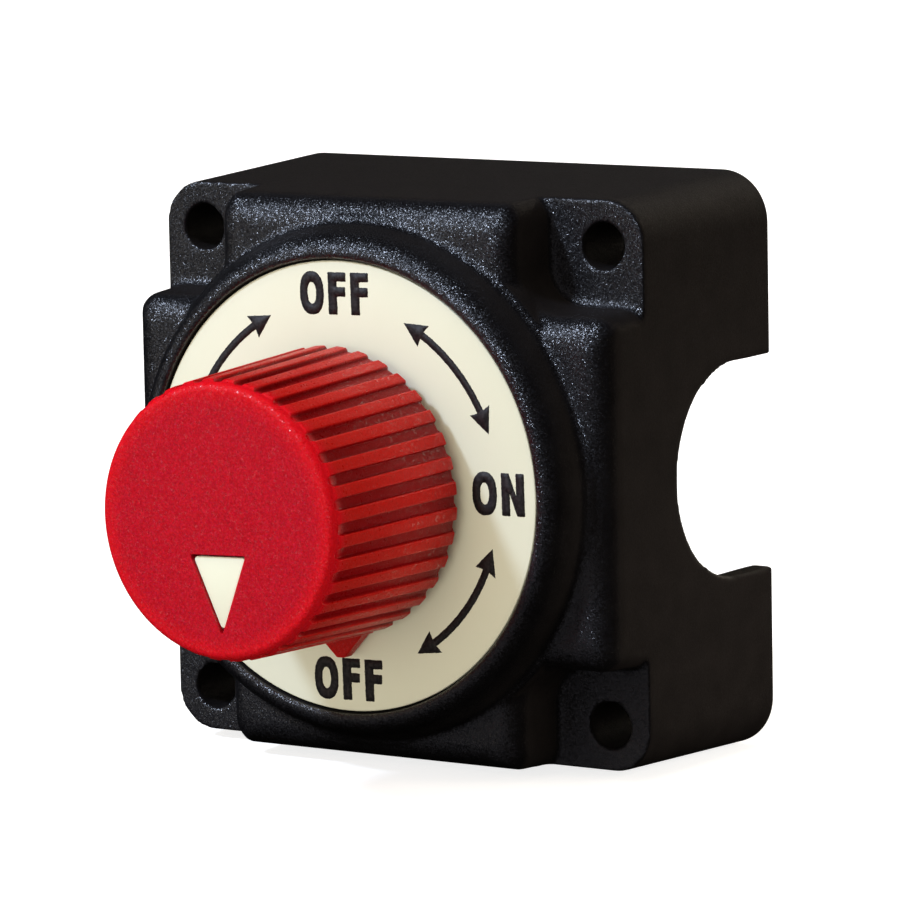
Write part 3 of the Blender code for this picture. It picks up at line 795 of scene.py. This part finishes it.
def make_nut(name, sx):
    x = sx * STUD_X
    outline = arc(x, 0.0, 8.5 / cos(radians(30)), 30, 330, 5)
    nut = prism(name, outline, -18.0, -10.0)
    profile = [(0.0, -18.25), (8.3, -18.25), (9.9, -17.35), (9.9, -10.65), (8.3, -9.75), (0.0, -9.75)]
    chamfer = revolve("chamfer", profile, 96, x)
    boolean(nut, chamfer, "INTERSECT")
    profile = [(0.0, -22.0), (5.9, -18.2), (5.15, -17.4), (5.15, -10.6), (5.9, -9.8), (0.0, -6.0)]
    bore = revolve("bore", profile, 56, x)
    boolean(nut, bore, "DIFFERENCE")
    apply_modifiers(nut, chamfer, bore)
    return bevelled(nut, 0.12, 2, 24.0)


def make_base_screw(name, x, z):
    """Domed head with a cross recess."""
    profile = [(0.0, -32.2), (0.7, -32.2), (1.35, -31.0), (1.35, -22.5), (2.62, -22.42), (2.75, -22.3),
               (2.75, -21.7), (2.68, -21.4), (2.45, -21.05), (2.1, -20.8), (1.6, -20.6), (1.0, -20.52),
               (0.0, -20.5)]
    screw = revolve(name, profile, 48, x, z)
    bars = []
    for turn in (25, 115):
        loops = []
        for y, half_length, half_width in ((-22.2, 0.6, 0.22), (-20.2, 1.7, 0.36)):
            outline = shifted(turned(rectangle(half_length, half_width), turn), x, z)
            loops.append([(px, y, pz) for px, pz in outline])
        bars.append(loft("bar", loops))
    combine(screw, removed=bars)
    return edge_smooth(screw, 35.0)


# ---------------------------------------------------------------- materials

class Shader:
    """Small helper that wires nodes into one material."""

    def __init__(self, name):
        self.material = bpy.data.materials.new(name)
        self.material.use_nodes = True
        self.tree = self.material.node_tree
        self.bsdf = self.tree.nodes["Principled BSDF"]
        self.coords = self.node("ShaderNodeTexCoord", {}).outputs

    def feed(self, socket, value):
        """Link an output to a socket, or give the socket a plain value."""
        if isinstance(value, bpy.types.NodeSocket):
            self.tree.links.new(value, socket)
        else:
            socket.default_value = value

    def node(self, kind, inputs, **settings):
        """A new node, with a value or a link for each input given by name or number."""
        made = self.tree.nodes.new(kind)
        for key, value in settings.items():
            setattr(made, key, value)
        for key, value in inputs.items():
            self.feed(made.inputs[key], value)
        return made

    def surface(self, **values):
        """The finished material, once its surface has these values or links; underscores stand for spaces."""
        for key, value in values.items():
            self.feed(self.bsdf.inputs[key.replace("_", " ")], value)
        return self.material

    def noise(self, scale, detail=2.0, roughness=0.5, vector=None):
        inputs = {"Vector": vector or self.coords["Object"], "Scale": scale, "Detail": detail,
                  "Roughness": roughness}
        return self.node("ShaderNodeTexNoise", inputs).outputs["Fac"]

    def ramp(self, source, low, high, start, end):
        """Colour that runs from start to end while the source runs from low to high."""
        node = self.node("ShaderNodeValToRGB", {"Fac": source})
        for element, position, colour in zip(node.color_ramp.elements, (low, high), (start, end)):
            element.position = position
            element.color = colour
        return node.outputs["Color"]

    def math(self, operation, *values):
        return self.node("ShaderNodeMath", dict(enumerate(values)), operation=operation).outputs["Value"]

    def vector_math(self, operation, inputs):
        return self.node("ShaderNodeVectorMath", inputs, operation=operation).outputs["Vector"]

    def between(self, value, start, end):
        """Eased share of the way from start to end, where start may be the larger."""
        inputs = {"Value": value, "From Min": start, "From Max": end}
        return self.node("ShaderNodeMapRange", inputs, interpolation_type="SMOOTHSTEP").outputs["Result"]

    def span(self, share, low, high):
        """A value that runs evenly from low to high with a share."""
        inputs = {"Value": share, "To Min": low, "To Max": high}
        return self.node("ShaderNodeMapRange", inputs).outputs["Result"]

    def blend(self, share, low, high):
        """One colour where the share is 0 and another where it is 1."""
        inputs = {"Factor": share, "A": low, "B": high}
        return self.node("ShaderNodeMix", inputs, data_type="RGBA").outputs["Result"]

    def bump(self, source, strength, distance):
        inputs = {"Height": source, "Strength": strength, "Distance": distance}
        return self.node("ShaderNodeBump", inputs).outputs["Normal"]


def grey(v):
    return (v, v, v, 1.0)


def flake_normal(shader, scale, tilt, normal):
    """Each tiny cell of the surface leans its own way, as grains of a coarse mould texture do."""
    cells = shader.node("ShaderNodeTexVoronoi", {"Vector": shader.coords["Object"], "Scale": scale})
    centred = shader.vector_math("SUBTRACT", {0: cells.outputs["Color"], 1: (0.5, 0.5, 0.5)})
    scaled = shader.vector_math("SCALE", {0: centred, "Scale": tilt})
    leaning = shader.vector_math("ADD", {0: normal, 1: scaled})
    return shader.vector_math("NORMALIZE", {0: leaning})


def front_share(shader, low, high):
    """1 on surfaces that face the front of the switch, 0 on its drafted sides."""
    split = shader.node("ShaderNodeSeparateXYZ", {"Vector": shader.coords["Normal"]})
    return shader.between(split.outputs["Y"], -low, -high)


def housing_material():
    """Black moulding: spark-eroded sparkle on the faces towards the front, plain matt drafted sides."""
    shader = Shader("moulded_black")
    front = front_share(shader, 0.12, 0.55)
    tone = shader.noise(300.0, 4.0)
    side = shader.ramp(tone, 0.3, 0.7, (0.0080, 0.0069, 0.0072, 1), (0.0105, 0.0091, 0.0094, 1))
    face = shader.ramp(tone, 0.3, 0.7, (0.0030, 0.0028, 0.0036, 1), (0.0048, 0.0045, 0.0056, 1))
    grain = shader.noise(3800.0, 2.0, 0.6)
    fine = shader.bump(grain, shader.span(front, 0.8, 0.25), 0.00003)
    return shader.surface(
        Base_Color=shader.blend(front, side, face),
        Roughness=shader.span(front, 0.65, 0.33),
        Specular_IOR_Level=shader.span(front, 0.16, 1.0),
        Normal=flake_normal(shader, 11000.0, shader.span(front, 0.12, 0.7), fine))


def slope_line(shader, y, y0, value0, y1, value1):
    """The straight line through two (y, value) pairs in millimetres, in metres at a shader's Y."""
    slope = (value1 - value0) / (y1 - y0)
    return shader.math("MULTIPLY_ADD", y, slope, (value1 - slope * y1) * MM)


def under_ribs(shader):
    """Depth of a point of the knob below the cone of its rib tops in millimetres, and its Y in metres."""
    split = shader.node("ShaderNodeSeparateXYZ", {"Vector": shader.coords["Object"]})
    y = split.outputs["Y"]
    low = slope_line(shader, y, KNOB_FACE_Y, knob_droop(KNOB_FACE_Y), KNOB_BACK_Y, knob_droop(KNOB_BACK_Y))
    z = shader.math("ADD", split.outputs["Z"], low)
    across = shader.node("ShaderNodeCombineXYZ", {"X": split.outputs["X"], "Z": z}).outputs["Vector"]
    radius = shader.node("ShaderNodeVectorMath", {0: across}, operation="LENGTH").outputs["Value"]
    inner_y = KNOB_BACK_Y - 2.0
    cone = slope_line(shader, y, inner_y, knob_radius(inner_y), KNOB_FACE_Y, KNOB_R_FRONT)
    return shader.math("DIVIDE", shader.math("SUBTRACT", cone, radius), MM), y


def knob_material():
    """Red moulding with a leathery fine grain; painted shade darkens the groove floors below the rib tops,
    and a painted glow brightens the thin rim of the face.
    """
    shader = Shader("moulded_red")
    front = front_share(shader, 0.3, 0.8)
    depth, y = under_ribs(shader)
    tone = shader.noise(3400.0, 3.0, 0.6)
    middle = shader.ramp(tone, 0.35, 0.7, (0.40, 0.0018, 0.012, 1), (0.53, 0.0028, 0.017, 1))
    # painted glow: the outer ring of the face gets a brighter red than its middle
    rim = shader.ramp(tone, 0.35, 0.7, (0.56, 0.0020, 0.009, 1), (0.66, 0.0030, 0.012, 1))
    rib = shader.ramp(tone, 0.35, 0.7, (0.42, 0.0060, 0.0045, 1), (0.55, 0.0090, 0.0065, 1))
    # painted shade: a darker copy of the rib red for the groove floors
    groove = shader.ramp(tone, 0.35, 0.7, (0.22, 0.0010, 0.0030, 1), (0.29, 0.0014, 0.0040, 1))
    # painted shade: the colour runs darker the deeper a point lies below the rib tops
    side = shader.blend(shader.between(depth, 0.08, 0.34), rib, groove)
    # painted glow: the face runs to the brighter rim red towards its edge
    face = shader.blend(shader.between(depth, 3.4, 0.4), middle, rim)
    behind = shader.between(y, (GROOVE_TIP_Y - 0.1) * MM, (GROOVE_TIP_Y + 2.3) * MM)
    fine = shader.bump(tone, shader.span(front, 0.15, 0.55), 0.00005)
    glints = shader.noise(2400.0, 2.0)
    return shader.surface(
        Base_Color=shader.blend(behind, face, side),
        Roughness=shader.ramp(glints, 0.58, 0.66, grey(0.42), grey(0.20)),
        Specular_IOR_Level=shader.ramp(glints, 0.58, 0.66, grey(0.15), grey(0.9)),
        Normal=flake_normal(shader, 6500.0, shader.span(front, 0.12, 0.5), fine),
        Subsurface_Weight=0.4, Subsurface_Radius=(1.0, 0.10, 0.05), Subsurface_Scale=0.0012)


def cream_material(name):
    """Smooth luminous plastic with faint clouding."""
    shader = Shader(name)
    tone = shader.noise(70.0, 5.0, 0.6)
    return shader.surface(
        Base_Color=shader.ramp(tone, 0.25, 0.75, (0.735, 0.770, 0.625, 1), (0.765, 0.800, 0.665, 1)),
        Roughness=shader.ramp(tone, 0.3, 0.7, grey(0.42), grey(0.5)),
        Specular_IOR_Level=0.25,
        Normal=shader.bump(shader.noise(2600.0, 2.0), 0.12, 0.00003))


def ink_material():
    """Screen-printed ink, speckled where it is thin."""
    shader = Shader("printed_ink")
    tone = shader.noise(3200.0, 3.0)
    return shader.surface(
        Base_Color=shader.ramp(tone, 0.35, 0.75, (0.007, 0.006, 0.007, 1), (0.032, 0.028, 0.031, 1)),
        Roughness=0.6,
        Normal=shader.bump(tone, 0.4, 0.00004))


def metal_material(name, colour, roughness, stretch=(1.0, 1.0, 1.0)):
    """Metal with fine drawn or rolled lines and slight staining."""
    shader = Shader(name)
    mapping = shader.node("ShaderNodeMapping", {"Vector": shader.coords["Object"], "Scale": stretch})
    lines = shader.noise(1800.0, 4.0, vector=mapping.outputs["Vector"])
    stained = (*(0.88 * c for c in colour), 1.0)
    return shader.surface(
        Base_Color=shader.ramp(shader.noise(220.0, 4.0), 0.3, 0.65, stained, (*colour, 1.0)),
        Roughness=shader.ramp(lines, 0.3, 0.7, grey(roughness * 0.75), grey(roughness * 1.3)),
        Metallic=0.7,
        Normal=shader.bump(lines, 0.15, 0.00003))


def plastic_material(name, low, high, roughness):
    """Matt plastic or rubber, mottled between two colours."""
    shader = Shader(name)
    grain = shader.noise(3600.0, 2.0)
    return shader.surface(
        Base_Color=shader.ramp(shader.noise(400.0, 4.0), 0.3, 0.7, (*low, 1.0), (*high, 1.0)),
        Roughness=shader.ramp(grain, 0.3, 0.7, grey(roughness * 0.85), grey(roughness * 1.15)),
        Normal=shader.bump(grain, 0.25, 0.00005))


def floor_material():
    """Pale floor that glows a little, so that it stays even."""
    shader = Shader("pale_floor")
    return shader.surface(
        Base_Color=shader.ramp(shader.noise(3.0, 3.0), 0.3, 0.7, grey(0.59), grey(0.61)),
        Roughness=0.9, Specular_IOR_Level=0.0, Emission_Color=grey(1.0), Emission_Strength=0.8)


# ---------------------------------------------------------------- stage

WARM = (1.0, 0.885, 0.72)
COOL = (0.68, 0.785, 1.0)
LILAC = (0.86, 0.86, 1.0)
CAMERA_PLACE = (0.38230, -0.60564, 0.10247)
CAMERA_TURN = (33.03, 8.11, -1.11)     # azimuth, elevation and roll in degrees
CAMERA_LENS = 237.5
CAMERA_SHIFT = (0.0052, -0.0101)


def direction(azimuth, elevation):
    """Unit vector from the object towards a place round it; azimuth 0 is the front."""
    a, e = radians(azimuth), radians(elevation)
    return Vector((sin(a) * cos(e), -cos(a) * cos(e), sin(e)))


def facing_in(azimuth, elevation):
    """Rotation of a camera or light that looks at the object from a place round it."""
    return (-direction(azimuth, elevation)).to_track_quat("-Z", "Y")


def add_camera():
    data = bpy.data.cameras.new("camera")
    data.sensor_width = 36.0
    data.lens = CAMERA_LENS
    data.shift_x, data.shift_y = CAMERA_SHIFT
    data.clip_end = 50.0
    azimuth, elevation, roll = CAMERA_TURN
    turn = facing_in(azimuth, elevation).to_matrix() @ Matrix.Rotation(radians(roll), 3, "Z")
    camera = new_object("camera", data)
    camera.matrix_world = Matrix.Translation(CAMERA_PLACE) @ turn.to_4x4()
    bpy.context.scene.camera = camera


def add_light(name, kind, azimuth, elevation, power, colour, shine):
    """A light that faces the object; without shine it lights surfaces but isn't mirrored in them."""
    data = bpy.data.lights.new(name, kind)
    data.energy = power
    data.color = colour
    light = new_object(name, data)
    light.rotation_euler = facing_in(azimuth, elevation).to_euler()
    light.visible_glossy = shine
    return light


def add_sun(name, azimuth, elevation, angle, power, colour, shine=True):
    """A far light that looks as wide as the angle in degrees."""
    light = add_light(name, "SUN", azimuth, elevation, power, colour, shine)
    light.data.angle = radians(angle)


def add_panel(name, azimuth, elevation, distance, size, power, shine=True):
    """A near square light, with its distance and size in metres."""
    light = add_light(name, "AREA", azimuth, elevation, power, WARM, shine)
    light.data.size = size
    light.location = direction(azimuth, elevation) * distance
    light.visible_camera = False


def add_lights():
    add_sun("key", -32.0, 41.6, 7.0, 2.15, COOL)
    add_sun("front_fill", 0.0, 0.0, 70.0, 1.72, WARM, shine=False)
    add_sun("front_sheen", -20.0, 5.0, 100.0, 0.25, LILAC)
    add_sun("top_fill", 0.0, 80.0, 50.0, 1.3, WARM, shine=False)
    add_sun("rear", 180.0, 12.0, 30.0, 0.9, WARM)
    add_panel("left_front", -42.0, 12.0, 0.25, 0.14, 0.03)
    add_panel("low_right", 88.0, -9.0, 0.10, 0.05, 0.05, shine=False)


def add_world(level):
    """Soft light from all round, which isn't mirrored in surfaces."""
    world = bpy.data.worlds.new("studio")
    bpy.context.scene.world = world
    world.use_nodes = True
    background = world.node_tree.nodes["Background"]
    background.inputs["Color"].default_value = (*WARM, 1.0)
    background.inputs["Strength"].default_value = level
    world.cycles_visibility.glossy = False


def add_floor():
    """A wide disc just below the housing, kept out of reflections and bounced light."""
    reach, thickness, gap = 6000.0, 20.0, 0.05
    floor = revolve("floor", [(0.0, 0.0), (reach, 0.0), (reach, thickness), (0.0, thickness)], 96)
    floor.rotation_euler = (radians(-90), 0, 0)
    floor.location = (0.0, 0.0, -(BACK_HALF + gap) * MM)
    floor.data.materials.append(floor_material())
    floor.visible_glossy = False
    floor.visible_diffuse = False


# ---------------------------------------------------------------- the whole switch

def build():
    """Every visible piece, riding on its CAD body."""
    black = housing_material()
    red = knob_material()
    steel = metal_material("hardware_steel", (0.72, 0.72, 0.70), 0.36)
    tinned = metal_material("tinned_brass", (0.78, 0.74, 0.64), 0.34)
    place(make_housing(), "base", "housing_black", black, "housing")
    place(make_knob(), "turning_set", "knob_red", red, "knob")
    cream = cream_material("cream_insert")
    place(make_pointer_insert(), "turning_set", "insert_cream", cream, "pointer_insert")
    place(make_dial(), "base", "dial_cream", cream_material("cream_dial"), "dial_plate")
    place(make_print(), "base", "dial_cream", ink_material())
    place(make_base_plate(), "base", "plate_black", black, "base_plate")
    stack = (("washer_", make_flat_washer, "flat_washer_"),
             ("lock_washer_", make_spring_washer, "spring_washer_"),
             ("nut_", make_nut, "terminal_nut_"))
    for side, sx in (("left", -1), ("right", 1)):
        place(make_stud("stud_" + side, sx), "base", "stud_tinned", tinned, "terminal_stud_" + side)
        for name, make, node in stack:
            place(make(name + side, sx), "base", "hardware_steel", steel, node + side)
    for k, (x, z) in enumerate(screw_places(SCREW_PCR), start=1):
        screw = make_base_screw("plate_screw_%d" % k, x, z)
        place(screw, "base", "hardware_steel", steel, "base_screw_%d" % k)


def dress(nodes):
    """Finishes for the inner parts, which keep their CAD shapes."""
    copper = metal_material("rolled_copper", (0.72, 0.36, 0.22), 0.30, (1.0, 6.0, 1.0))
    silver = metal_material("contact_silver", (0.80, 0.79, 0.76), 0.25)
    spring = metal_material("spring_steel", (0.50, 0.50, 0.50), 0.25)
    dark = metal_material("blackened_steel", (0.10, 0.10, 0.10), 0.40)
    nylon = plastic_material("natural_nylon", (0.70, 0.69, 0.63), (0.78, 0.77, 0.72), 0.45)
    rubber = plastic_material("seal_rubber", (0.012, 0.012, 0.012), (0.022, 0.022, 0.022), 0.75)
    finishes = {"bridge_copper": copper, "tip_silver": silver, "spring_steel": spring, "spindle_black": dark,
                "rotor_white": nylon, "washer_white": nylon, "seal_rubber": rubber}
    for node in nodes.values():
        if node.hide_render:
            continue
        old = node.data.materials[0].name if node.data.materials else ""
        slot = next((slot for slot in finishes if old.startswith(slot)), "spring_steel")
        node.data.materials.clear()
        node.data.materials.append(finishes[slot])


def main():
    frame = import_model()
    bpy.context.scene.view_settings.view_transform = "Standard"
    add_camera()
    add_world(0.28)
    add_floor()
    add_lights()
    build()
    dress(frame["nodes"])


main()
